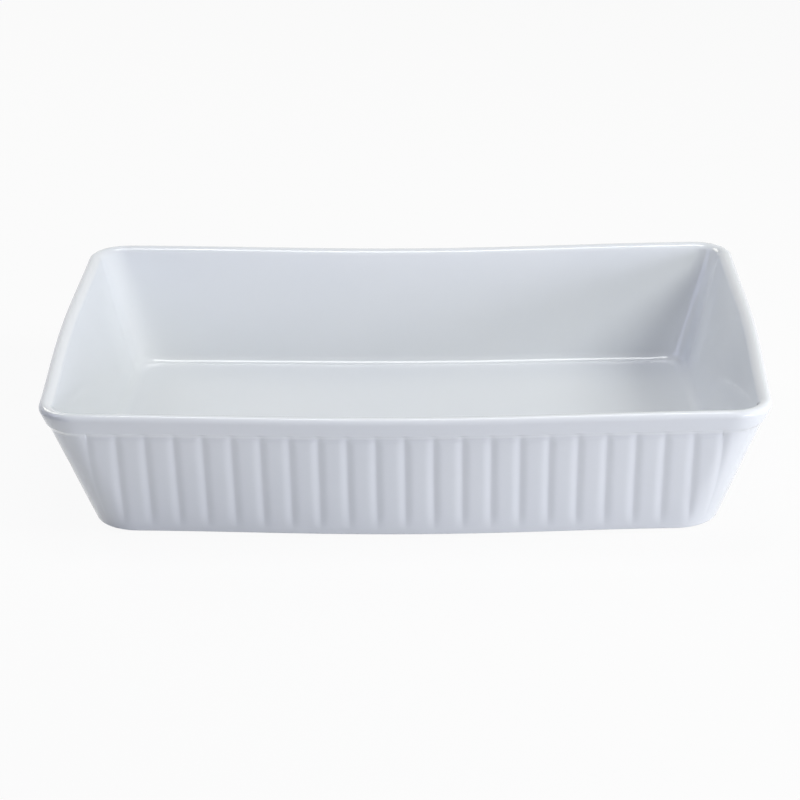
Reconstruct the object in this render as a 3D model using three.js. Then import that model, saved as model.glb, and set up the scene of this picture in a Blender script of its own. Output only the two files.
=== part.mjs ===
// A rectangular ceramic oven dish with a ribbed wall, a rounded rim and a dry foot.
// Millimetres, +Z up, length along X, origin at the centre of the foot plane.
import * as THREE from 'three';

// Overall size over the glaze
const LENGTH = 330;
const WIDTH = 220;
const HEIGHT = 66;

// Corner radii of the plan: outside at the rim and at the base, and inside at the floor
const RIM_CORNER_RADIUS = 18;
const BASE_CORNER_RADIUS = 20.5;
const FLOOR_CORNER_RADIUS = 13;

// How far the middle of a side bows out: a short side at every level, a long side only at the base
const SHORT_SIDE_BOW = 2.3;
const LONG_SIDE_BOW = 5.5;

// How far the rim of a long side and the floor dip in the middle
const RIM_SAG = 2.6;
const FLOOR_SAG = 1.4;

// Wall section: an inset is measured inward from the rim's outermost line
const RIM_OUTER_RADIUS = 2.4;
const RIM_INNER_RADIUS = 4.2;
const COLLAR_FACE_LENGTH = 5.6;
const COLLAR_STEP = 0.7;
const COLLAR_EDGE_RADIUS = 5;
const COLLAR_FILLET_RADIUS = 7;
const BASE_INSET = 20.1;
const WALL_THICKNESS = 5.9;
const FLOOR_LEVEL = 9.95;
const COVE_RADIUS = 6;

// Foot: the bare ring that the dish stands on, and the shallow panel inside it
const FOOT_EDGE_RADIUS = 2.6;
const FOOT_RING_WIDTH = 9;
const FOOT_RECESS = 2;

// Upright ribs with flat faces and rounded tops, parted by soft grooves that run out towards the foot.
// They run straight down, so near the foot the last ones of a side come to lie on the corner.
const RIB_WIDTH = 6;
const GROOVE_WIDTH = 7;
const GROOVE_DEPTH = 0.8;
const GROOVE_RUN_OUT = 8;
const RIB_SHOULDER = 3;
const RIB_CLEAR_OF_COLLAR = 1.2;
const GROUND_CLEAR_OF_COLLAR = 0.3;
const RIB_CLEAR_OF_FOOT = 0.6;

// Glaze: its thickness, where it stops above the foot, and the gap that parts it from the clay
const GLAZE_THICKNESS = 0.6;
const GLAZE_LINE = 0.7;
const GLAZE_GAP = 0.05;

// Mesh fineness
const CORNER_STEPS = 6;
const LONG_SIDE_STEPS = 8;
const SHORT_SIDE_STEPS = 6;
const FOOT_ARC_STEPS = 2;
const BARE_FOOT_STEPS = 2;
const FILLET_ARC_STEPS = 2;
const COLLAR_ARC_STEPS = 2;
const RIM_EDGE_STEPS = 1;
const RIM_OUTER_STEPS = 3;
const RIM_INNER_STEPS = 4;
const COVE_ARC_STEPS = 3;

// Finishes
const GLAZE_COLOUR = 0xdfe4ea;
const GLAZE_ROUGHNESS = 0.16;
const CLAY_COLOUR = 0xe6e0d4;
const CLAY_ROUGHNESS = 0.85;

const SIDES = 4;
const RIGHT_ANGLE = Math.PI / 2;
const SKIN = GLAZE_THICKNESS + GLAZE_GAP;
const HALF_LENGTH = LENGTH / 2 - SHORT_SIDE_BOW;
const HALF_WIDTH = WIDTH / 2;

// Section of the wall: tangent arcs, each a centre, a radius and a run of outward normals

function unit(angle) {
  return [Math.cos(angle), Math.sin(angle)];
}

function dot(a, b) {
  return a[0] * b[0] + a[1] * b[1];
}

function fromPoint(point, direction, distance) {
  return [point[0] + direction[0] * distance, point[1] + direction[1] * distance];
}

// The point whose distances along two directions are given
function meet(directionA, distanceA, directionB, distanceB) {
  const cross = directionA[0] * directionB[1] - directionA[1] * directionB[0];
  return [
    (distanceA * directionB[1] - distanceB * directionA[1]) / cross,
    (directionA[0] * distanceB - directionB[0] * distanceA) / cross,
  ];
}

// The facing of a line that passes a point at a given distance; offset runs from the line to the point.
function lineFacing(offset, distance) {
  return Math.atan2(offset[1], offset[0]) - Math.acos(distance / Math.hypot(offset[0], offset[1]));
}

const rimThickness = RIM_OUTER_RADIUS + RIM_INNER_RADIUS;
const rimOuterCentre = [RIM_OUTER_RADIUS, HEIGHT - RIM_OUTER_RADIUS];
const rimInnerCentre = [RIM_OUTER_RADIUS, HEIGHT - RIM_INNER_RADIUS];

// The collar's face is tangent to the rim and parallel to the wall, which lies a step further in.
const wallFoot = [BASE_INSET, 0];
const footToRim = [rimOuterCentre[0] - wallFoot[0], rimOuterCentre[1] - wallFoot[1]];
const draft = lineFacing(footToRim, RIM_OUTER_RADIUS - COLLAR_STEP);
const wallFacing = Math.PI + draft;
const wallNormal = unit(wallFacing);
const downTheWall = unit(wallFacing + RIGHT_ANGLE);

// The step is two arcs that turn as far out as back.
const stepRadius = COLLAR_EDGE_RADIUS + COLLAR_FILLET_RADIUS;
const stepFacing = wallFacing + Math.acos(1 - COLLAR_STEP / stepRadius);
const collarFoot = fromPoint(
  fromPoint(rimOuterCentre, wallNormal, RIM_OUTER_RADIUS),
  downTheWall,
  COLLAR_FACE_LENGTH,
);
const collarCentre = fromPoint(collarFoot, wallNormal, -COLLAR_EDGE_RADIUS);
const filletCentre = fromPoint(collarCentre, unit(stepFacing), stepRadius);
const wallHead = fromPoint(filletCentre, wallNormal, -COLLAR_FILLET_RADIUS);

// The inner wall runs from the rim's arc to a floor edge that leaves the wall its thickness.
const outerAtFloor = [BASE_INSET - Math.tan(draft) * FLOOR_LEVEL, FLOOR_LEVEL];
const floorToRim = [rimInnerCentre[0] - outerAtFloor[0], rimInnerCentre[1] - outerAtFloor[1]];
const innerDraft = lineFacing(floorToRim, WALL_THICKNESS - RIM_INNER_RADIUS);
const innerNormal = unit(innerDraft);

const footCentreLevel = FOOT_EDGE_RADIUS - SKIN;
const footCentre = [
  BASE_INSET + (FOOT_EDGE_RADIUS - footCentreLevel * Math.sin(draft)) / Math.cos(draft),
  footCentreLevel,
];
const glazeEdge = Math.PI + Math.asin((footCentreLevel - GLAZE_LINE) / FOOT_EDGE_RADIUS);

const coveCentre = meet(
  innerNormal,
  dot(innerNormal, rimInnerCentre) + RIM_INNER_RADIUS + COVE_RADIUS,
  [0, 1],
  FLOOR_LEVEL + COVE_RADIUS,
);

const footArc = {
  centre: footCentre, radius: FOOT_EDGE_RADIUS, hollow: false, inside: false,
  from: glazeEdge, to: wallFacing, steps: FOOT_ARC_STEPS,
};
const bareFootArc = {
  centre: footCentre, radius: FOOT_EDGE_RADIUS, hollow: false, inside: false,
  from: Math.PI + RIGHT_ANGLE, to: glazeEdge, steps: BARE_FOOT_STEPS,
};
const filletArc = {
  centre: filletCentre, radius: COLLAR_FILLET_RADIUS, hollow: true, inside: false,
  from: wallFacing, to: stepFacing, steps: FILLET_ARC_STEPS,
};
const collarArc = {
  centre: collarCentre, radius: COLLAR_EDGE_RADIUS, hollow: false, inside: false,
  from: stepFacing, to: wallFacing, steps: COLLAR_ARC_STEPS,
};
const rimEdgeArc = {
  centre: rimOuterCentre, radius: RIM_OUTER_RADIUS, hollow: false, inside: true,
  from: wallFacing, to: Math.PI, steps: RIM_EDGE_STEPS,
};
const rimOuterArc = {
  centre: rimOuterCentre, radius: RIM_OUTER_RADIUS, hollow: false, inside: true,
  from: Math.PI, to: RIGHT_ANGLE, steps: RIM_OUTER_STEPS,
};
const rimInnerArc = {
  centre: rimInnerCentre, radius: RIM_INNER_RADIUS, hollow: false, inside: true,
  from: RIGHT_ANGLE, to: innerDraft, steps: RIM_INNER_STEPS,
};
const coveArc = {
  centre: coveCentre, radius: COVE_RADIUS, hollow: true, inside: true,
  from: innerDraft, to: RIGHT_ANGLE, steps: COVE_ARC_STEPS,
};

// Plan of one level

function swell(share) {
  return Math.abs(share) < 1 ? Math.cos(share * RIGHT_ANGLE) ** 2 : 0;
}

// Outside, the corners widen from the rim to the base. Inside means from the rim's outermost line
// inward: there they are parallel across the rim, and then go over to the floor's radius.
function cornerRadius(inset, inside) {
  const { clamp, lerp } = THREE.MathUtils;
  const outerShare = clamp(inset / BASE_INSET, 0, 1);
  const innerShare = clamp((inset - rimThickness) / (coveCentre[0] - rimThickness), 0, 1);
  const outer = lerp(RIM_CORNER_RADIUS, BASE_CORNER_RADIUS, outerShare);
  const inner = lerp(RIM_CORNER_RADIUS - Math.min(inset, rimThickness), FLOOR_CORNER_RADIUS, innerShare);
  return inside ? inner : outer;
}

function compass(quarter) {
  return [Math.round(Math.cos(quarter * RIGHT_ANGLE)), Math.round(Math.sin(quarter * RIGHT_ANGLE))];
}

// Half of the straight part of a side
function sideFlat(quarter, inset, inside = false) {
  const reach = quarter % 2 === 0 ? HALF_WIDTH : HALF_LENGTH;
  return reach - inset - cornerRadius(inset, inside);
}

// A place on the outline of one level is { quarter, onCorner, share }: a side or the corner after it,
// and the share of the way along.
function outlinePoint(place, inset, inside) {
  const radius = cornerRadius(inset, inside);
  const across = (place.quarter % 2 === 0 ? HALF_LENGTH : HALF_WIDTH) - inset;
  const flat = sideFlat(place.quarter, inset, inside);
  const normal = compass(place.quarter);
  const tangent = compass(place.quarter + 1);
  const angle = place.onCorner ? place.share * RIGHT_ANGLE : 0;
  const along = place.onCorner ? flat : flat * (2 * place.share - 1);
  const out = across - radius + radius * Math.cos(angle);
  const over = along + radius * Math.sin(angle);
  return [normal[0] * out + tangent[0] * over, normal[1] * out + tangent[1] * over];
}

// Outside, the long sides bow at the base and the rim dips. Inside, the floor dips too.
function bowed([x, y], inset, level, inside) {
  const lengthSwell = swell(x / (HALF_LENGTH - inset));
  const widthSwell = swell(y / (HALF_WIDTH - inset));
  const rise = THREE.MathUtils.clamp(level / wallHead[1], 0, 1);
  const longBow = inside ? 0 : LONG_SIDE_BOW * (1 - rise);
  const depthShare = THREE.MathUtils.clamp((level - FLOOR_LEVEL) / (HEIGHT - FLOOR_LEVEL), 0, 1);
  const sag = THREE.MathUtils.lerp(inside ? FLOOR_SAG : 0, RIM_SAG, depthShare);
  return [
    x * (1 + (SHORT_SIDE_BOW / (HALF_LENGTH - inset)) * widthSwell),
    y * (1 + (longBow / (HALF_WIDTH - inset)) * lengthSwell),
    level - sag * lengthSwell,
  ];
}

// Stations round the outline. A plain one is its place at every level. One on the ribbed wall is an
// offset from the middle of its side at the wall's head, or a share of the corner between two sides.

// How far round the corner an offset reaches, as a share of the corner: 0 on the straight part of the
// side, the length along the arc at first, and never as much as the corner's middle
function turnedShare(quarter, offset, inset) {
  const beyond = Math.max(Math.abs(offset) - sideFlat(quarter, inset), 0);
  const halfCorner = (cornerRadius(inset, false) * RIGHT_ANGLE) / 2;
  return Math.tanh(beyond / halfCorner) / 2;
}

function ribPlace({ quarter, offset }, inset) {
  const turned = turnedShare(quarter, offset, inset);
  if (turned === 0) {
    return { quarter, onCorner: false, share: (1 + offset / sideFlat(quarter, inset)) / 2 };
  }
  return offset > 0
    ? { quarter, onCorner: true, share: turned }
    : { quarter: quarter - 1, onCorner: true, share: 1 - turned };
}

function cornerPlace({ quarter, cornerShare }, inset) {
  const start = turnedShare(quarter, ribbedReach(quarter), inset);
  const end = 1 - turnedShare(quarter + 1, ribbedReach(quarter + 1), inset);
  return { quarter, onCorner: true, share: THREE.MathUtils.lerp(start, end, cornerShare) };
}

function stationPlace(station, inset) {
  if ('offset' in station) {
    return ribPlace(station, inset);
  }
  return 'cornerShare' in station ? cornerPlace(station, inset) : station;
}

// The last groove of a side lies where its straight part ends, and its far flank beyond.
function ribbedReach(quarter) {
  return sideFlat(quarter, wallHead[0]) + GROOVE_WIDTH / 2;
}

function plainStations() {
  const stations = [];
  for (let quarter = 0; quarter < SIDES; quarter += 1) {
    const sideSteps = quarter % 2 === 0 ? SHORT_SIDE_STEPS : LONG_SIDE_STEPS;
    for (let step = 0; step < sideSteps; step += 1) {
      stations.push({ quarter, onCorner: false, share: step / sideSteps });
    }
    for (let step = 0; step < CORNER_STEPS; step += 1) {
      stations.push({ quarter, onCorner: true, share: step / CORNER_STEPS });
    }
  }
  return stations;
}

// Along a side, each groove has a station at its bottom and one on either flank.
function sideRibStations(quarter) {
  const lastGroove = sideFlat(quarter, wallHead[0]);
  const count = Math.max(Math.round((2 * lastGroove) / (RIB_WIDTH + GROOVE_WIDTH)), 1);
  const flank = GROOVE_WIDTH / 2;
  const stations = [];
  for (let groove = 0; groove <= count; groove += 1) {
    const offset = lastGroove * ((2 * groove) / count - 1);
    stations.push({ quarter, offset: offset - flank, onRib: groove > 0 });
    stations.push({ quarter, offset, inGroove: true });
    stations.push({ quarter, offset: offset + flank, onRib: groove < count });
  }
  return stations;
}

function ribStations() {
  const stations = [];
  for (let quarter = 0; quarter < SIDES; quarter += 1) {
    stations.push(...sideRibStations(quarter));
    for (let step = 1; step < CORNER_STEPS; step += 1) {
      stations.push({ quarter, cornerShare: step / CORNER_STEPS });
    }
  }
  return stations;
}

// Rings start in the middle of the first side, where any two of them have places side by side.
function startInMiddle(stations) {
  const isPastMiddle = ({ offset, share }) => (offset === undefined ? share >= 1 / 2 : offset >= 0);
  const start = stations.findIndex(isPastMiddle);
  const before = stations.slice(0, start);
  return [
    ...stations.slice(start),
    ...before.map((station) => ({ ...station, quarter: station.quarter + SIDES })),
  ];
}

const PLAIN = startInMiddle(plainStations());
const RIBBED = startInMiddle(ribStations());

// Rings: each a level of one surface, an inset, and the stations that it passes through

// Skin depth 0 is the glazed surface; SKIN is the clay under it.
function arcSection(arc, skinDepth) {
  const rings = [];
  for (let step = 0; step <= arc.steps; step += 1) {
    const normal = unit(THREE.MathUtils.lerp(arc.from, arc.to, step / arc.steps));
    const reach = (arc.hollow ? -arc.radius : arc.radius) - skinDepth;
    const [inset, level] = fromPoint(arc.centre, normal, reach);
    rings.push({ inset, level, inside: arc.inside, stations: PLAIN });
  }
  return rings;
}

// The rows of the ribbed wall, from just above the foot to just below the collar
function ribRows(skinDepth) {
  const low = fromPoint(footCentre, wallNormal, FOOT_EDGE_RADIUS - skinDepth);
  const high = fromPoint(wallHead, wallNormal, -skinDepth);
  const bottom = low[1] + RIB_CLEAR_OF_FOOT;
  const top = high[1] - RIB_CLEAR_OF_COLLAR;
  const rows = [
    { level: bottom, ribDepth: 0, grooveDepth: 0 },
    { level: bottom + GROOVE_RUN_OUT, ribDepth: 0, grooveDepth: GROOVE_DEPTH },
    { level: top - RIB_SHOULDER, ribDepth: 0, grooveDepth: GROOVE_DEPTH },
    { level: top, ribDepth: GROOVE_DEPTH, grooveDepth: GROOVE_DEPTH },
    { level: high[1] - GROUND_CLEAR_OF_COLLAR, ribDepth: 0, grooveDepth: 0 },
  ];
  return rows.map((row) => ({
    ...row,
    inset: THREE.MathUtils.mapLinear(row.level, low[1], high[1], low[0], high[0]),
  }));
}

// Every skin takes the places of the glazed face, so that its triangles match the others'.
function ribSection(skinDepth) {
  const face = ribRows(0);
  return ribRows(skinDepth).map((row, index) => ({
    ...row,
    placeInset: face[index].inset,
    inside: false,
    stations: RIBBED,
  }));
}

// From the glaze line outside, over the rim, to the edge of the floor inside
function glazedSection(skinDepth) {
  return [
    ...arcSection(footArc, skinDepth),
    ...ribSection(skinDepth),
    ...arcSection(filletArc, skinDepth),
    ...arcSection(collarArc, skinDepth).slice(1),
    ...arcSection(rimEdgeArc, skinDepth),
    ...arcSection(rimOuterArc, skinDepth).slice(1),
    ...arcSection(rimInnerArc, skinDepth).slice(1),
    ...arcSection(coveArc, skinDepth),
  ];
}

// Solids made of closed rings, joined in order and capped at both ends

function placeOrder(place) {
  return place.quarter + (place.onCorner ? 0.5 : 0) + place.share / 2;
}

class RingSolid {
  constructor() {
    this.positions = [];
    this.triangles = [];
  }

  addRing(section) {
    const start = this.positions.length / 3;
    const { ribDepth = 0, grooveDepth = 0, level, inside } = section;
    const orders = [];
    for (const station of section.stations) {
      const depth = (station.inGroove ? grooveDepth : 0) + (station.onRib ? ribDepth : 0);
      const inset = section.inset + depth;
      const place = stationPlace(station, section.placeInset);
      orders.push(placeOrder(place));
      this.positions.push(...bowed(outlinePoint(place, inset, inside), inset, level, inside));
    }
    return { start, orders };
  }

  addTriangle(a, b, c, turned) {
    this.triangles.push(...(turned ? [a, c, b] : [a, b, c]));
  }

  // Walks round two rings and always steps along the one whose next point comes first.
  join(lower, upper, turned) {
    const sizes = [lower.orders.length, upper.orders.length];
    const index = (ring, place) => ring.start + (place % ring.orders.length);
    const order = (ring, place) => {
      const turns = Math.floor(place / ring.orders.length);
      return turns * SIDES + ring.orders[place % ring.orders.length];
    };
    let low = 0;
    let high = 0;
    while (low < sizes[0] || high < sizes[1]) {
      const lowComesFirst = order(lower, low + 1) <= order(upper, high + 1);
      if (low < sizes[0] && (high >= sizes[1] || lowComesFirst)) {
        this.addTriangle(index(lower, low), index(lower, low + 1), index(upper, high), turned);
        low += 1;
      } else {
        this.addTriangle(index(lower, low), index(upper, high + 1), index(upper, high), turned);
        high += 1;
      }
    }
  }

  cap(ring, level, facingUp) {
    const centre = this.positions.length / 3;
    const count = ring.orders.length;
    this.positions.push(0, 0, level);
    for (let place = 0; place < count; place += 1) {
      const here = ring.start + place;
      const next = ring.start + ((place + 1) % count);
      this.addTriangle(centre, here, next, !facingUp);
    }
  }

  // A turned surface faces the other way, with the same triangles as one that isn't.
  addSections(sections, turned = false) {
    const rings = sections.map((section) => this.addRing(section));
    for (let place = 1; place < rings.length; place += 1) {
      this.join(rings[place - 1], rings[place], turned);
    }
    return { first: rings[0], last: rings[rings.length - 1] };
  }

  toGeometry() {
    const geometry = new THREE.BufferGeometry();
    geometry.setAttribute('position', new THREE.Float32BufferAttribute(this.positions, 3));
    geometry.setIndex(this.triangles);
    geometry.computeVertexNormals();
    return geometry;
  }
}

function plainRing(inset, level) {
  return { inset, level, inside: false, stations: PLAIN };
}

// Foot ring and recess, from the middle of the underside out, and the lowest point of the floor
const footRingInset = footCentre[0] + FOOT_RING_WIDTH;
const clayCeiling = FOOT_RECESS + SKIN;
const floorMiddle = FLOOR_LEVEL - FLOOR_SAG;

function makeDishBody() {
  const solid = new RingSolid();
  const ends = solid.addSections([
    plainRing(footRingInset, clayCeiling),
    plainRing(footRingInset, 0),
    ...arcSection(bareFootArc, SKIN),
    ...glazedSection(SKIN).slice(1),
  ]);
  solid.cap(ends.first, clayCeiling, false);
  solid.cap(ends.last, floorMiddle - SKIN, true);
  return solid.toGeometry();
}

// The coat is a skin: a face against the clay and an outer face, joined at the glaze line.
function makeGlazeCoat() {
  const solid = new RingSolid();
  const inside = solid.addSections(glazedSection(GLAZE_THICKNESS), true);
  const outside = solid.addSections(glazedSection(0));
  solid.join(inside.first, outside.first, false);
  solid.cap(inside.last, floorMiddle - GLAZE_THICKNESS, false);
  solid.cap(outside.last, floorMiddle, true);
  return solid.toGeometry();
}

function makeBaseGlaze() {
  const solid = new RingSolid();
  const edge = footRingInset + GLAZE_GAP;
  const top = FOOT_RECESS + GLAZE_THICKNESS;
  const ends = solid.addSections([plainRing(edge, FOOT_RECESS), plainRing(edge, top)]);
  solid.cap(ends.first, FOOT_RECESS, false);
  solid.cap(ends.last, top, true);
  return solid.toGeometry();
}

// Assembly

const glaze = new THREE.MeshStandardMaterial({
  color: GLAZE_COLOUR, roughness: GLAZE_ROUGHNESS, metalness: 0,
});
const clay = new THREE.MeshStandardMaterial({
  color: CLAY_COLOUR, roughness: CLAY_ROUGHNESS, metalness: 0,
});

function namedMesh(name, geometry, material) {
  const mesh = new THREE.Mesh(geometry, material);
  mesh.name = name;
  return mesh;
}

const dish = new THREE.Group();
dish.add(
  namedMesh('dish_body', makeDishBody(), clay),
  namedMesh('glaze_coat', makeGlazeCoat(), glaze),
  namedMesh('base_glaze', makeBaseGlaze(), glaze),
);

export default dish;
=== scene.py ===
# A white oven dish with upright ribs: one clay body under a glossy glaze, in a plain bright studio.
import math

import bpy
import numpy as np
from mathutils import Matrix, Vector


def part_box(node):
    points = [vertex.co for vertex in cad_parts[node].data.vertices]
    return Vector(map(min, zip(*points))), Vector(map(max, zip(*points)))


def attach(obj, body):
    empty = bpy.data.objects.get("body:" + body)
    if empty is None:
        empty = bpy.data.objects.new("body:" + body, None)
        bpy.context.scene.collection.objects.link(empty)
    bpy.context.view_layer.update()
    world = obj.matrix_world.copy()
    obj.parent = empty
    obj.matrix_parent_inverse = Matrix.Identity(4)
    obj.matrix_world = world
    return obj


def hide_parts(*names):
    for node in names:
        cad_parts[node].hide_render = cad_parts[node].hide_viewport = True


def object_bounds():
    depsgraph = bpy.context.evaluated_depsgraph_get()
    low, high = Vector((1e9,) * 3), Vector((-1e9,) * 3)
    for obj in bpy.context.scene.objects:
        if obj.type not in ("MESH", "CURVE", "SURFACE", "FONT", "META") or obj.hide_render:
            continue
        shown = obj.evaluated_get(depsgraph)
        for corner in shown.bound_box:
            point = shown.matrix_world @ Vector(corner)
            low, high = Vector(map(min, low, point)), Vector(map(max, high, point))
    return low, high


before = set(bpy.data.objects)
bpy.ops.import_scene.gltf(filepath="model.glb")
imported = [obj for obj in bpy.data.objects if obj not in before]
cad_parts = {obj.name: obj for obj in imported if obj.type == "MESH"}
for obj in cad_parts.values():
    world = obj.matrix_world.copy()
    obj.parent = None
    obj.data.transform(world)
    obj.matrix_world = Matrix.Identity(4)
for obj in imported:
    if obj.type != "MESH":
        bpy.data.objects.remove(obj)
CAD_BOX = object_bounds()

# Overall size over the glaze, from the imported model, in metres as everything here
LOWEST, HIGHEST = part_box("glaze_coat")
LENGTH = HIGHEST.x - LOWEST.x
WIDTH = HIGHEST.y - LOWEST.y
HEIGHT = HIGHEST.z

# Corner radii of the plan: outside at the rim and at the base, and inside at the floor
RIM_CORNER_RADIUS = 0.018
BASE_CORNER_RADIUS = 0.0205
FLOOR_CORNER_RADIUS = 0.013

# Reach of the averaging that lets the corners inside begin gently
INNER_CORNER_EASE = 0.006

# How far the middle of a side bows out: a short side by the same at every level, a long side by this at
# the base and by nothing at the wall's head
SHORT_SIDE_BOW = 0.0023
LONG_SIDE_BOW = 0.0055

# How far the rim of a long side and the floor dip in the middle
RIM_SAG = 0.0026
FLOOR_SAG = 0.0014

# Wall section: an inset is measured inward from the rim's outermost line
RIM_OUTER_RADIUS = 0.0024
RIM_INNER_RADIUS = 0.0042
COLLAR_FACE_LENGTH = 0.0056
COLLAR_STEP = 0.0007
COLLAR_EDGE_RADIUS = 0.005
COLLAR_FILLET_RADIUS = 0.007
BASE_INSET = 0.0201
WALL_THICKNESS = 0.0059
FLOOR_LEVEL = 0.00995
COVE_RADIUS = 0.006

# Foot: the bare ring that the dish stands on, and the shallow panel inside it
FOOT_EDGE_RADIUS = 0.0026
FOOT_RING_WIDTH = 0.009
FOOT_RECESS = 0.002
FOOT_INNER_EDGE = 0.0006

# Ribs: fingers whose faces lie in the wall, with shoulders that fall to rounded grooves between them.
# Their tops are round and end a little above the wall's head. They run straight down, so near the foot
# the last ones of a side come to lie on the corner.
RIB_PITCH = 0.013
RIB_HEIGHT = 0.001
RIB_SHOULDER = 0.0037
RIB_SHOULDER_POWER = 1.45
RIB_TOP_RADIUS = 0.0038
RIB_TOP_ABOVE_HEAD = 0.0014
GROOVE_ROUNDING = 0.0007

# Height over which the grooves deepen above the foot, and width of the shoulder past a side's last groove
RIB_FADE = 0.011
LAST_SHOULDER = 0.0042

# Glaze: its thickness, where it stops above the foot, and the gap that parts it from the clay
GLAZE_THICKNESS = 0.0006
GLAZE_LINE = 0.0007
GLAZE_GAP = 0.00005
GLAZE_BEAD_RADIUS = GLAZE_THICKNESS / 2
SKIN = GLAZE_THICKNESS + GLAZE_GAP

# Mesh fineness: steps of each stretch, and how closely they gather at grooves and at the wall's ends
RIB_STEPS = 9
RIB_CLUSTER = 1.6
SHOULDER_STEPS = 6
CORNER_STEPS = 24
FOOT_ARC_STEPS = 6
WALL_STEPS = 30
WALL_CLUSTER = 0.8
FILLET_ARC_STEPS = 6
COLLAR_ARC_STEPS = 8
RIM_EDGE_STEPS = 2
RIM_OUTER_STEPS = 9
RIM_INNER_STEPS = 10
INNER_WALL_STEPS = 6
COVE_ARC_STEPS = 12
FLOOR_STEPS = 10
BEAD_STEPS = 4

# Camera, from the photograph's outline: angles in radians, and the sensor in millimetres
IMAGE_PIXELS = 800
FOCAL_PIXELS = 2701
SENSOR_WIDTH = 36
CAMERA_PITCH = 0.4083
CAMERA_YAW = -0.0211
CAMERA_ROLL = -0.0140
CAMERA_DISTANCE = 1.2965
CAMERA_AIM_HEIGHT = 0.0332
CAMERA_SIDE_SHIFT = 0.00377
CAMERA_UP_SHIFT = 0.00707

SIDES = 4
RIGHT_ANGLE = math.pi / 2
FULL_TURN = 2 * math.pi
CORNER_MIDDLE = RIGHT_ANGLE / 2
HALF_LENGTH = LENGTH / 2 - SHORT_SIDE_BOW
HALF_WIDTH = WIDTH / 2

# Facings in the section, where insets run to the right and levels run up
FACING_UP = RIGHT_ANGLE
FACING_OUT = 2 * RIGHT_ANGLE
FACING_DOWN = 3 * RIGHT_ANGLE
FACING_IN = 4 * RIGHT_ANGLE


# Section of the wall: tangent arcs, each a centre, a radius and a run of outward normals


def unit(angle):
    return np.array([math.cos(angle), math.sin(angle)])


def meet(direction_a, distance_a, direction_b, distance_b):
    """The point whose distances along two directions are given."""
    return np.linalg.solve(np.array([direction_a, direction_b]), np.array([distance_a, distance_b]))


def line_facing(offset, distance):
    """The facing of a line that passes a point at a distance; offset runs from the line to the point."""
    return math.atan2(offset[1], offset[0]) - math.acos(distance / math.hypot(*offset))


class Arc:
    """A round stretch of the section. Skin depth 0 is the glazed surface; SKIN is the clay under it."""

    def __init__(self, centre, radius, start, end, steps, hollow=False, inside=False):
        self.centre = np.array(centre)
        self.reach = -radius if hollow else radius
        self.angles = np.linspace(start, end, steps + 1)
        self.inside = inside

    def points(self, skin_depth):
        return [self.centre + unit(angle) * (self.reach - skin_depth) for angle in self.angles]

    def rings(self, skin_depth):
        return [ring(inset, level, self.inside) for inset, level in self.points(skin_depth)]


RIM_THICKNESS = RIM_OUTER_RADIUS + RIM_INNER_RADIUS
RIM_OUTER_CENTRE = np.array([RIM_OUTER_RADIUS, HEIGHT - RIM_OUTER_RADIUS])
RIM_INNER_CENTRE = np.array([RIM_OUTER_RADIUS, HEIGHT - RIM_INNER_RADIUS])

# The collar's face is tangent to the rim and parallel to the wall, which lies a step further in.
WALL_FOOT = np.array([BASE_INSET, 0])
DRAFT = line_facing(RIM_OUTER_CENTRE - WALL_FOOT, RIM_OUTER_RADIUS - COLLAR_STEP)
WALL_FACING = FACING_OUT + DRAFT
WALL_NORMAL = unit(WALL_FACING)
DOWN_THE_WALL = unit(WALL_FACING + RIGHT_ANGLE)

# The step is two arcs that turn as far out as back.
STEP_RADIUS = COLLAR_EDGE_RADIUS + COLLAR_FILLET_RADIUS
STEP_FACING = WALL_FACING + math.acos(1 - COLLAR_STEP / STEP_RADIUS)
COLLAR_FOOT = RIM_OUTER_CENTRE + WALL_NORMAL * RIM_OUTER_RADIUS + DOWN_THE_WALL * COLLAR_FACE_LENGTH
COLLAR_CENTRE = COLLAR_FOOT - WALL_NORMAL * COLLAR_EDGE_RADIUS
FILLET_CENTRE = COLLAR_CENTRE + unit(STEP_FACING) * STEP_RADIUS
WALL_HEAD = FILLET_CENTRE - WALL_NORMAL * COLLAR_FILLET_RADIUS

# The inner wall runs from the rim's arc to a floor edge that leaves the wall its thickness.
OUTER_AT_FLOOR = np.array([BASE_INSET - math.tan(DRAFT) * FLOOR_LEVEL, FLOOR_LEVEL])
INNER_DRAFT = line_facing(RIM_INNER_CENTRE - OUTER_AT_FLOOR, WALL_THICKNESS - RIM_INNER_RADIUS)
INNER_NORMAL = unit(INNER_DRAFT)
COVE_CENTRE = meet(
    INNER_NORMAL,
    INNER_NORMAL @ RIM_INNER_CENTRE + RIM_INNER_RADIUS + COVE_RADIUS,
    np.array([0, 1]),
    FLOOR_LEVEL + COVE_RADIUS,
)

# The foot's edge is tangent to the wall, and its clay to the level that the dish stands on.
FOOT_CENTRE_LEVEL = FOOT_EDGE_RADIUS - SKIN
FOOT_CENTRE = np.array([
    BASE_INSET + (FOOT_EDGE_RADIUS - FOOT_CENTRE_LEVEL * math.sin(DRAFT)) / math.cos(DRAFT),
    FOOT_CENTRE_LEVEL,
])
GLAZE_EDGE = FACING_OUT + math.asin((FOOT_CENTRE_LEVEL - GLAZE_LINE) / FOOT_EDGE_RADIUS)
FOOT_RING_INSET = FOOT_CENTRE[0] + FOOT_RING_WIDTH
CLAY_CEILING = FOOT_RECESS + SKIN

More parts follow.
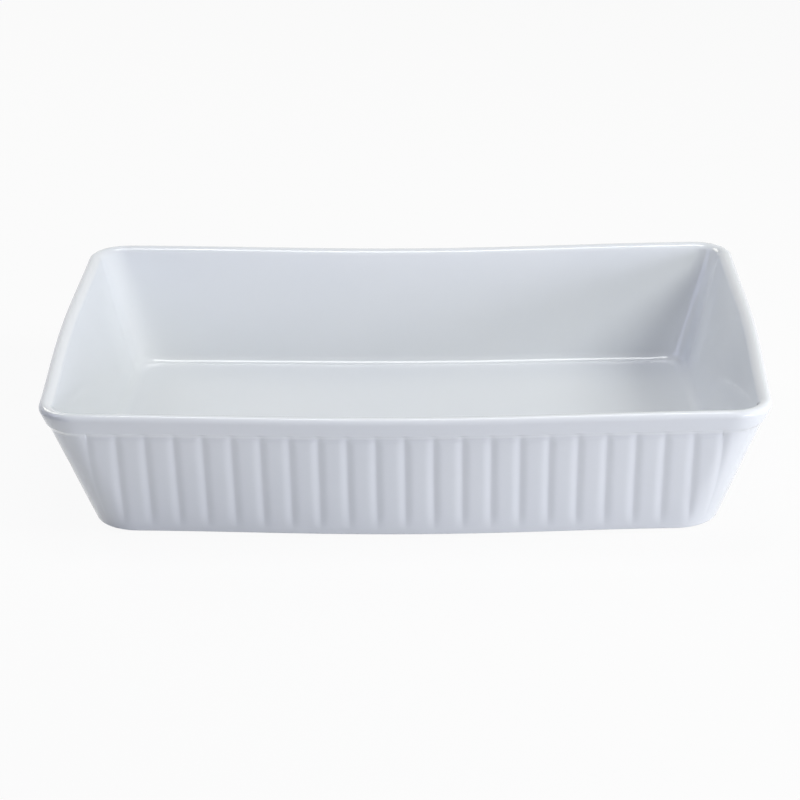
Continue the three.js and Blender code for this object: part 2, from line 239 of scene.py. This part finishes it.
FOOT_ARC = Arc(FOOT_CENTRE, FOOT_EDGE_RADIUS, GLAZE_EDGE, WALL_FACING, FOOT_ARC_STEPS)
BARE_FOOT_ARC = Arc(FOOT_CENTRE, FOOT_EDGE_RADIUS, FACING_DOWN, GLAZE_EDGE, FOOT_ARC_STEPS)
FILLET_ARC = Arc(
    FILLET_CENTRE, COLLAR_FILLET_RADIUS, WALL_FACING, STEP_FACING, FILLET_ARC_STEPS, hollow=True
)
COLLAR_ARC = Arc(COLLAR_CENTRE, COLLAR_EDGE_RADIUS, STEP_FACING, WALL_FACING, COLLAR_ARC_STEPS)
RIM_EDGE_ARC = Arc(
    RIM_OUTER_CENTRE, RIM_OUTER_RADIUS, WALL_FACING, FACING_OUT, RIM_EDGE_STEPS, inside=True
)
RIM_OUTER_ARC = Arc(
    RIM_OUTER_CENTRE, RIM_OUTER_RADIUS, FACING_OUT, FACING_UP, RIM_OUTER_STEPS, inside=True
)
RIM_INNER_ARC = Arc(
    RIM_INNER_CENTRE, RIM_INNER_RADIUS, FACING_UP, INNER_DRAFT, RIM_INNER_STEPS, inside=True
)
COVE_ARC = Arc(COVE_CENTRE, COVE_RADIUS, INNER_DRAFT, FACING_UP, COVE_ARC_STEPS, hollow=True, inside=True)


# Plan of one level


def smooth(share):
    """From 0 to 1 as the share does, level at both ends."""
    share = np.clip(share, 0, 1)
    return share * share * (3 - 2 * share)


def swell(share):
    """1 where the share is 0, falling to 0 where it is 1 either way."""
    return np.where(np.abs(share) < 1, np.cos(share * RIGHT_ANGLE) ** 2, 0)


def blend(first, last, share):
    return first + (last - first) * np.clip(share, 0, 1)


def corner_radius(inset, inside=False):
    """Outside, corners widen from the rim to the base.

    Inside means from the rim's outermost line inward: there they are parallel across the rim, and then
    go over to the floor's radius.
    """
    outer = blend(RIM_CORNER_RADIUS, BASE_CORNER_RADIUS, inset / BASE_INSET)
    share = (inset - RIM_THICKNESS) / (COVE_CENTRE[0] - RIM_THICKNESS)
    inner = blend(RIM_CORNER_RADIUS - np.minimum(inset, RIM_THICKNESS), FLOOR_CORNER_RADIUS, share)
    return inner if inside else outer


def side_flat(faces_x, inset, inside=False):
    """Half of the straight part of a side."""
    return np.where(faces_x, HALF_WIDTH, HALF_LENGTH) - inset - corner_radius(inset, inside)


def side_reach(faces_x):
    """Offset of a side's outermost place, where the shoulder past its last groove ends."""
    return side_flat(faces_x, WALL_HEAD[0]) + LAST_SHOULDER


def outline_place(quarter, on_corner=False, offset=0, share=0, edge=LAST_SHOULDER, on_rib=False):
    return quarter, on_corner, offset, share, edge, on_rib


class Outline:
    """The places round the dish where every level has a point.

    For each place: the quarter that it belongs to, whether it lies between two sides on the quarter's
    corner, its offset from the middle of the side at the wall's head or its share of the corner, its
    distance from the nearest groove, and whether it lies on a rib.
    """

    def __init__(self):
        places = []
        for quarter in range(SIDES):
            places += self.side_places(quarter)
            places += self.corner_places(quarter)
        columns = [np.array(column) for column in zip(*places)]
        quarters, self.on_corner, self.offset, self.share, self.edge, self.on_rib = columns
        self.faces_x = quarters % 2 == 0
        angle = quarters * RIGHT_ANGLE
        self.normal = np.round(np.stack([np.cos(angle), np.sin(angle)], axis=1))
        self.tangent = np.stack([-self.normal[:, 1], self.normal[:, 0]], axis=1)

    def side_places(self, quarter):
        """The ribs from groove to groove, and past the last grooves a shoulder that faces the corner."""
        last_groove = float(side_flat(quarter % 2 == 0, WALL_HEAD[0]))
        count = max(round(2 * last_groove / RIB_PITCH), 1)
        pitch = 2 * last_groove / count
        half_pitch = np.linspace(0, 1, RIB_STEPS) ** RIB_CLUSTER / 2
        pitch_shares = np.concatenate([half_pitch, 1 - half_pitch[-2:0:-1]])
        shoulder = LAST_SHOULDER * np.linspace(0, 1, SHOULDER_STEPS + 1) ** RIB_CLUSTER
        places = [outline_place(quarter, offset=-last_groove - past, edge=past) for past in shoulder[:0:-1]]
        for rib in range(count):
            for share in pitch_shares:
                offset = (rib + share) * pitch - last_groove
                edge = min(share, 1 - share) * pitch
                places.append(outline_place(quarter, offset=offset, edge=edge, on_rib=True))
        places += [outline_place(quarter, offset=last_groove + past, edge=past) for past in shoulder]
        return places

    def corner_places(self, quarter):
        shares = np.arange(1, CORNER_STEPS) / CORNER_STEPS
        return [outline_place(quarter, on_corner=True, share=share) for share in shares]

    def turned(self, faces_x, offset, inset):
        """How far round the corner an offset reaches: not at all on the straight part of the side, the
        length along the arc at first, and never as far as the corner's middle."""
        beyond = np.maximum(np.abs(offset) - side_flat(faces_x, inset), 0)
        half_corner = corner_radius(inset) * CORNER_MIDDLE
        return np.sign(offset) * np.tanh(beyond / half_corner) * CORNER_MIDDLE

    def angles(self, inset, inside):
        """The outline's facing at each place, from its side's."""
        if inside:
            return np.where(self.on_corner, self.share * RIGHT_ANGLE, 0)
        side = self.turned(self.faces_x, self.offset, inset)
        start = self.turned(self.faces_x, side_reach(self.faces_x), inset)
        end = RIGHT_ANGLE - self.turned(~self.faces_x, side_reach(~self.faces_x), inset)
        return np.where(self.on_corner, start + (end - start) * self.share, side)

    def points(self, inset, inside):
        """The plan at an inset, which may differ from place to place."""
        radius = corner_radius(inset, inside)
        across = np.where(self.faces_x, HALF_LENGTH, HALF_WIDTH) - inset
        flat = side_flat(self.faces_x, inset, inside)
        if inside:
            along = self.offset * flat / side_reach(self.faces_x)
        else:
            along = np.clip(self.offset, -flat, flat)
        along = np.where(self.on_corner, flat, along)
        angle = self.angles(inset, inside)
        out = across - radius + radius * np.cos(angle)
        over = along + radius * np.sin(angle)
        return self.normal * out[:, None] + self.tangent * over[:, None]


OUTLINE = Outline()

# Turns of a closed plan that are laid end to end, so that a reach can run past the middle one's ends
PLAN_TURNS = 3


def eased(plan, reach):
    """A closed plan, each point averaged over a reach to either side, so that corners begin gently."""
    following = np.roll(plan, -1, axis=0)
    steps = np.linalg.norm(following - plan, axis=1)
    weighted = (plan + following) / 2 * steps[:, None]
    along = np.concatenate([[0], np.cumsum(np.tile(steps, PLAN_TURNS))]) - steps.sum()
    summed = np.concatenate([[[0, 0]], np.cumsum(np.tile(weighted, (PLAN_TURNS, 1)), axis=0)])
    here = along[len(plan):2 * len(plan)]
    averages = []
    for column in summed.T:
        rise = np.interp(here + reach, along, column) - np.interp(here - reach, along, column)
        averages.append(rise / (2 * reach))
    return np.stack(averages, axis=1)


def ring(inset, level, inside=False):
    """One level. Outside, the long sides bow at the base and the rim dips.

    Inside, the floor dips too, and the corners are eased from the rim inward.
    """
    plan = OUTLINE.points(inset, inside)
    ease = INNER_CORNER_EASE * smooth(inset / RIM_THICKNESS - 1) if inside else 0
    if ease > 0:
        plan = eased(plan, ease)
    length_swell = swell(plan[:, 0] / (HALF_LENGTH - inset))
    width_swell = swell(plan[:, 1] / (HALF_WIDTH - inset))
    long_bow = 0 if inside else LONG_SIDE_BOW * (1 - np.clip(level / WALL_HEAD[1], 0, 1))
    depth_share = (level - FLOOR_LEVEL) / (HEIGHT - FLOOR_LEVEL)
    sag = blend(FLOOR_SAG if inside else 0, RIM_SAG, depth_share)
    x = plan[:, 0] * (1 + SHORT_SIDE_BOW / (HALF_LENGTH - inset) * width_swell)
    y = plan[:, 1] * (1 + long_bow / (HALF_WIDTH - inset) * length_swell)
    return np.stack([x, y, level - sag * length_swell], axis=1)


# Ribs


def rib_relief(inset, level, foot_level, head_level):
    """How far the wall lies below a rib's face, as a share of the rib's height, all round one level.

    A rib's outline is a finger: straight edges along the grooves and a rounded top, which reaches a
    little above the wall's head. Its shoulder falls to the ground inside that outline, and its foot
    melts into the wall. A corner has no top, and the last grooves fade as they turn into it.
    """
    below_top = head_level + RIB_TOP_ABOVE_HEAD - level
    aside = RIB_TOP_RADIUS - np.hypot(OUTLINE.edge, GROOVE_ROUNDING)
    above = np.where(OUTLINE.on_rib, RIB_TOP_RADIUS - below_top, -RIB_TOP_RADIUS)
    rounded = np.hypot(np.maximum(aside, 0), np.maximum(above, 0))
    within = RIB_TOP_RADIUS - rounded - np.minimum(np.maximum(aside, above), 0)
    shoulder = (1 - np.clip(within / RIB_SHOULDER, 0, 1)) ** RIB_SHOULDER_POWER
    turned = np.abs(OUTLINE.turned(OUTLINE.faces_x, OUTLINE.offset, inset))
    foot_fade = smooth((level - foot_level) / RIB_FADE)
    corner_fade = (1 - turned / CORNER_MIDDLE) ** 2
    return shoulder * foot_fade * corner_fade


def wall_rings(skin_depth):
    """The ribbed stretch of the outer wall, from the foot's arc to the step under the collar."""
    low = FOOT_CENTRE + WALL_NORMAL * (FOOT_EDGE_RADIUS - skin_depth)
    high = WALL_HEAD - WALL_NORMAL * skin_depth
    steps = np.arange(1, WALL_STEPS) / WALL_STEPS
    shares = steps - WALL_CLUSTER * np.sin(FULL_TURN * steps) / FULL_TURN
    rings = []
    for share in shares:
        inset, level = low + (high - low) * share
        relief = rib_relief(inset, level, low[1], high[1])
        rings.append(ring(inset + RIB_HEIGHT * relief, level))
    return rings


def step_rings(skin_depth):
    """The step under the collar: it comes out of the ground round the ribs' tops."""
    points = FILLET_ARC.points(skin_depth) + COLLAR_ARC.points(skin_depth)[1:]
    head_inset, head_level = points[0]
    ground = rib_relief(head_inset, head_level, 0, head_level)
    rings = []
    for index, (inset, level) in enumerate(points):
        depth = RIB_HEIGHT * ground * smooth(1 - index / (len(points) - 1))
        rings.append(ring(inset + depth, level))
    return rings


# Surfaces, as rings in order


def inner_wall_rings(skin_depth):
    """Between the rim's arc and the cove, where the sag and the corners change with the level."""
    start = RIM_INNER_CENTRE + INNER_NORMAL * (RIM_INNER_RADIUS - skin_depth)
    end = COVE_CENTRE + INNER_NORMAL * (-COVE_RADIUS - skin_depth)
    rings = []
    for step in range(1, INNER_WALL_STEPS):
        inset, level = start + (end - start) * step / INNER_WALL_STEPS
        rings.append(ring(inset, level, inside=True))
    return rings


def disc_rings(edge, middle_level, steps):
    """From a closed edge in to the middle, and last the middle itself. The levels follow a parabola."""
    rings = []
    for step in range(1, steps + 1):
        outward = 1 - step / steps
        points = edge * outward
        points[:, 2] = edge[:, 2] + (middle_level - edge[:, 2]) * (1 - outward ** 2)
        rings.append(points)
    return rings


def glazed_rings(skin_depth):
    """From the glaze line outside, over the rim, to the middle of the floor inside."""
    rings = FOOT_ARC.rings(skin_depth)
    rings += wall_rings(skin_depth)
    rings += step_rings(skin_depth)
    rings += RIM_EDGE_ARC.rings(skin_depth)
    rings += RIM_OUTER_ARC.rings(skin_depth)[1:]
    rings += RIM_INNER_ARC.rings(skin_depth)[1:]
    rings += inner_wall_rings(skin_depth)
    rings += COVE_ARC.rings(skin_depth)
    rings += disc_rings(rings[-1], FLOOR_LEVEL - FLOOR_SAG - skin_depth, FLOOR_STEPS)
    return rings


def glaze_bead_rings():
    """The rounded lower edge of the coat, between its clay side and its face."""
    centre = FOOT_CENTRE + unit(GLAZE_EDGE) * (FOOT_EDGE_RADIUS - GLAZE_BEAD_RADIUS)
    bead = Arc(centre, GLAZE_BEAD_RADIUS, GLAZE_EDGE + math.pi, GLAZE_EDGE, BEAD_STEPS)
    return bead.rings(0)[1:-1]


def add_object(name, data):
    item = bpy.data.objects.new(name, data)
    bpy.context.scene.collection.objects.link(item)
    return item


def make_solid(name, rings):
    """A closed mesh of rings. The first and the last ring are single points."""
    first, *between, last = rings
    count = len(first)
    points = np.concatenate([first[:1], *between, last[:1]])
    pairs = [(place, (place + 1) % count) for place in range(count)]
    starts = [1 + index * count for index in range(len(between))]
    end = len(points) - 1
    faces = [(0, starts[0] + b, starts[0] + a) for a, b in pairs]
    for low, high in zip(starts, starts[1:]):
        faces += [(low + a, low + b, high + b, high + a) for a, b in pairs]
    faces += [(end, starts[-1] + a, starts[-1] + b) for a, b in pairs]
    mesh = bpy.data.meshes.new(name)
    mesh.from_pydata(points.tolist(), [], faces)
    mesh.validate()
    mesh.shade_smooth()
    return add_object(name, mesh)


def make_coat():
    clay_side = glazed_rings(GLAZE_THICKNESS)[::-1]
    return make_solid("white_glaze_coat", clay_side + glaze_bead_rings() + glazed_rings(0))


def make_clay():
    ceiling_edge = ring(FOOT_RING_INSET, CLAY_CEILING)
    rings = disc_rings(ceiling_edge, CLAY_CEILING, FLOOR_STEPS)[::-1]
    rings.append(ceiling_edge)
    rings.append(ring(FOOT_RING_INSET, FOOT_INNER_EDGE))
    edge_centre = (FOOT_RING_INSET - FOOT_INNER_EDGE, FOOT_INNER_EDGE)
    edge = Arc(edge_centre, FOOT_INNER_EDGE, FACING_IN, FACING_DOWN, BEAD_STEPS)
    rings += edge.rings(0)[1:]
    rings += BARE_FOOT_ARC.rings(SKIN)
    rings += glazed_rings(SKIN)[1:]
    return make_solid("clay_body", rings)


def make_base_glaze():
    bead_inset = FOOT_RING_INSET + GLAZE_GAP + GLAZE_BEAD_RADIUS
    bead_centre = (bead_inset, FOOT_RECESS + GLAZE_BEAD_RADIUS)
    bead = Arc(bead_centre, GLAZE_BEAD_RADIUS, FACING_DOWN, FACING_UP, BEAD_STEPS)
    rim = bead.rings(0)
    under = disc_rings(rim[0], FOOT_RECESS, FLOOR_STEPS)[::-1]
    over = disc_rings(rim[-1], FOOT_RECESS + GLAZE_THICKNESS, FLOOR_STEPS)
    return make_solid("base_glaze_panel", under + rim + over)


# Materials

OPAQUE = 1


def new_material(name):
    material = bpy.data.materials.new(name)
    material.use_nodes = True
    nodes = material.node_tree.nodes
    links = material.node_tree.links
    return material, nodes, links, nodes["Principled BSDF"]


def add_noise(nodes, links, scale, detail):
    """Noise in the object's own metres."""
    place = nodes.new("ShaderNodeTexCoord")
    noise = nodes.new("ShaderNodeTexNoise")
    noise.inputs["Scale"].default_value = scale
    noise.inputs["Detail"].default_value = detail
    links.new(place.outputs["Object"], noise.inputs["Vector"])
    return noise.outputs["Fac"]


def add_ramp(nodes, links, source, stops, socket):
    """Sends a grey to a socket as colours or other greys, each given for a place of its range."""
    ramp = nodes.new("ShaderNodeValToRGB")
    elements = ramp.color_ramp.elements
    for element, (place, colour) in zip(elements, stops):
        element.position = place
        element.color = (*colour, OPAQUE)
    for place, colour in stops[len(elements):]:
        elements.new(place).color = (*colour, OPAQUE)
    links.new(source, ramp.inputs["Fac"])
    links.new(ramp.outputs["Color"], socket)


def add_bump(nodes, links, source, strength, depth, socket):
    """Small unevenness of a surface, as high as a grey."""
    bump = nodes.new("ShaderNodeBump")
    bump.inputs["Strength"].default_value = strength
    bump.inputs["Distance"].default_value = depth
    links.new(source, bump.inputs["Height"])
    links.new(bump.outputs["Normal"], socket)


def grey(value):
    return (value, value, value)


# Glaze: each noise is a scale and a detail. Clouds tint it, haze dulls it and peel makes it uneven.
GLAZE_CLOUDS = (14, 3)
GLAZE_TONES = ((0.3, (0.785, 0.815, 0.85)), (0.7, (0.805, 0.83, 0.86)))
GLAZE_HAZE = (45, 2)
GLAZE_ROUGHNESS = ((0.35, grey(0.05)), (0.65, grey(0.08)))
GLAZE_PEEL = (260, 1)
GLAZE_BUMP = 0.02
GLAZE_BUMP_DEPTH = 0.0002
GLAZE_IOR = 1.6


def glaze_material():
    material, nodes, links, shader = new_material("white_glaze")
    clouds = add_noise(nodes, links, *GLAZE_CLOUDS)
    add_ramp(nodes, links, clouds, GLAZE_TONES, shader.inputs["Base Color"])
    haze = add_noise(nodes, links, *GLAZE_HAZE)
    add_ramp(nodes, links, haze, GLAZE_ROUGHNESS, shader.inputs["Roughness"])
    peel = add_noise(nodes, links, *GLAZE_PEEL)
    add_bump(nodes, links, peel, GLAZE_BUMP, GLAZE_BUMP_DEPTH, shader.inputs["Normal"])
    shader.inputs["IOR"].default_value = GLAZE_IOR
    return material


# Bare clay: dark specks in a warm ground, and a fine grain
CLAY_SPECKS = (900, 2)
CLAY_TONES = ((0.28, (0.36, 0.27, 0.19)), (0.36, (0.72, 0.66, 0.56)), (0.7, (0.80, 0.75, 0.66)))
CLAY_GRAIN = (2400, 2)
CLAY_BUMP = 0.25
CLAY_BUMP_DEPTH = 0.0002
CLAY_ROUGHNESS = 0.85


def clay_material():
    material, nodes, links, shader = new_material("bare_clay")
    specks = add_noise(nodes, links, *CLAY_SPECKS)
    add_ramp(nodes, links, specks, CLAY_TONES, shader.inputs["Base Color"])
    grain = add_noise(nodes, links, *CLAY_GRAIN)
    add_bump(nodes, links, grain, CLAY_BUMP, CLAY_BUMP_DEPTH, shader.inputs["Normal"])
    shader.inputs["Roughness"].default_value = CLAY_ROUGHNESS
    return material


# Pieces


def dress(piece, material, node):
    piece.data.materials.append(material)
    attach(piece, "root")
    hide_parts(node)


glaze = glaze_material()
dress(make_coat(), glaze, "glaze_coat")
dress(make_base_glaze(), glaze, "base_glaze")
dress(make_clay(), clay_material(), "dish_body")


# Studio

WHITE = (*grey(1), OPAQUE)
BACKDROP_STRENGTH = 1.0
AMBIENT_COLOUR = (0.93, 0.96, 1.0, OPAQUE)
AMBIENT_STRENGTH = 0.05
FLOOR_HALF_SIZE = 4
FLOOR_CORNERS = ((-1, -1), (1, -1), (1, 1), (-1, 1))
FLOOR_CLEARANCE = 0.0002
FLOOR_COLOUR = (*grey(0.75), OPAQUE)
FLOOR_SHOWN_WHITE = 0.92

# Softboxes: each one's place, width and height, watts and colour. All of them face the dish.
LIGHT_AIM = (0, 0, 0.03)
SOFTBOXES = {
    "key_light": ((1.1, -0.4, 0.92), (0.5, 0.5), 11.4, (0.99, 1, 0.96)),
    "left_light": ((-1.2, -0.2, 0.9), (0.8, 0.8), 3.2, (0.65, 0.7, 1)),
    "back_left_light": ((-0.8, 0.8, 1.0), (0.6, 0.6), 5.2, (1, 0.98, 0.86)),
    "low_front_light": ((1.0, -1.0, 0.2), (0.6, 0.3), 8.4, (0.86, 0.87, 1)),
    "overhead_light": ((0.0, 0.05, 1.25), (0.56, 0.36), 3.8, (1, 1, 1)),
}

# The one lamp that the glaze doesn't mirror, because it would make a hot spot there
LAMP_NOT_MIRRORED = "key_light"


def seen_ray(nodes, links):
    """1 for rays that show the background itself: from the camera, off a gloss or through glass."""
    path = nodes.new("ShaderNodeLightPath")
    seen = path.outputs["Is Camera Ray"]
    for kind in ("Is Glossy Ray", "Is Transmission Ray"):
        either = nodes.new("ShaderNodeMath")
        either.operation = "MAXIMUM"
        links.new(seen, either.inputs[0])
        links.new(path.outputs[kind], either.inputs[1])
        seen = either.outputs[0]
    return seen


def add_mix(nodes, links, share, first, second):
    """The first shader where the share is 0, and the second where it is 1."""
    mix = nodes.new("ShaderNodeMixShader")
    links.new(share, mix.inputs["Fac"])
    links.new(first.outputs[0], mix.inputs[1])
    links.new(second.outputs[0], mix.inputs[2])
    return mix


def light_world():
    """A white background for the rays that show it, and a weak light for all other rays."""
    world = bpy.data.worlds.new("studio")
    bpy.context.scene.world = world
    world.use_nodes = True
    nodes = world.node_tree.nodes
    links = world.node_tree.links
    ambient = nodes["Background"]
    ambient.inputs["Color"].default_value = AMBIENT_COLOUR
    ambient.inputs["Strength"].default_value = AMBIENT_STRENGTH
    shown = nodes.new("ShaderNodeBackground")
    shown.inputs["Color"].default_value = WHITE
    shown.inputs["Strength"].default_value = BACKDROP_STRENGTH
    mix = add_mix(nodes, links, seen_ray(nodes, links), ambient, shown)
    links.new(mix.outputs[0], nodes["World Output"].inputs["Surface"])


def floor_material():
    """White to the rays that show the background, but for a faint shadow; clear from below."""
    material, nodes, links, unused_shader = new_material("studio_floor")
    nodes.remove(unused_shader)
    lit = nodes.new("ShaderNodeBsdfDiffuse")
    lit.inputs["Color"].default_value = FLOOR_COLOUR
    white = nodes.new("ShaderNodeEmission")
    white_share = nodes.new("ShaderNodeMath")
    white_share.operation = "MULTIPLY"
    white_share.inputs[1].default_value = FLOOR_SHOWN_WHITE
    links.new(seen_ray(nodes, links), white_share.inputs[0])
    shown = add_mix(nodes, links, white_share.outputs[0], lit, white)
    clear = nodes.new("ShaderNodeBsdfTransparent")
    facing = nodes.new("ShaderNodeNewGeometry")
    sided = add_mix(nodes, links, facing.outputs["Backfacing"], shown, clear)
    links.new(sided.outputs[0], nodes["Material Output"].inputs["Surface"])
    return material


def add_floor():
    level = CAD_BOX[0][2] - FLOOR_CLEARANCE
    corners = [(x * FLOOR_HALF_SIZE, y * FLOOR_HALF_SIZE, level) for x, y in FLOOR_CORNERS]
    mesh = bpy.data.meshes.new("studio_floor")
    mesh.from_pydata(corners, [], [(0, 1, 2, 3)])
    mesh.materials.append(floor_material())
    floor = add_object("studio_floor", mesh)


def add_softbox(name, place, size, power, colour):
    lamp = bpy.data.lights.new(name, "AREA")
    lamp.shape = "RECTANGLE"
    lamp.size, lamp.size_y = size
    lamp.energy = power
    lamp.color = colour
    box = add_object(name, lamp)
    box.location = place
    box.rotation_euler = (Vector(LIGHT_AIM) - Vector(place)).to_track_quat("-Z", "Y").to_euler()
    box.visible_glossy = name != LAMP_NOT_MIRRORED


def turn(angle, axis):
    matrix_size = 4
    return Matrix.Rotation(angle, matrix_size, axis)


def add_camera():
    """The view of the photograph: the dish is turned, tilted and rolled in front of the lens."""
    camera = bpy.data.cameras.new("camera")
    camera.sensor_fit = "HORIZONTAL"
    camera.sensor_width = SENSOR_WIDTH
    camera.lens = FOCAL_PIXELS / IMAGE_PIXELS * SENSOR_WIDTH
    holder = add_object("camera", camera)
    to_camera = (
        Matrix.Translation((CAMERA_SIDE_SHIFT, CAMERA_UP_SHIFT, -CAMERA_DISTANCE))
        @ turn(-CAMERA_ROLL, "Z")
        @ turn(CAMERA_PITCH - RIGHT_ANGLE, "X")
        @ turn(CAMERA_YAW, "Z")
        @ Matrix.Translation((0, 0, -CAMERA_AIM_HEIGHT))
    )
    holder.matrix_world = to_camera.inverted()
    bpy.context.scene.camera = holder


light_world()
add_floor()
for name, settings in SOFTBOXES.items():
    add_softbox(name, *settings)
add_camera()
bpy.context.scene.view_settings.view_transform = "Standard"
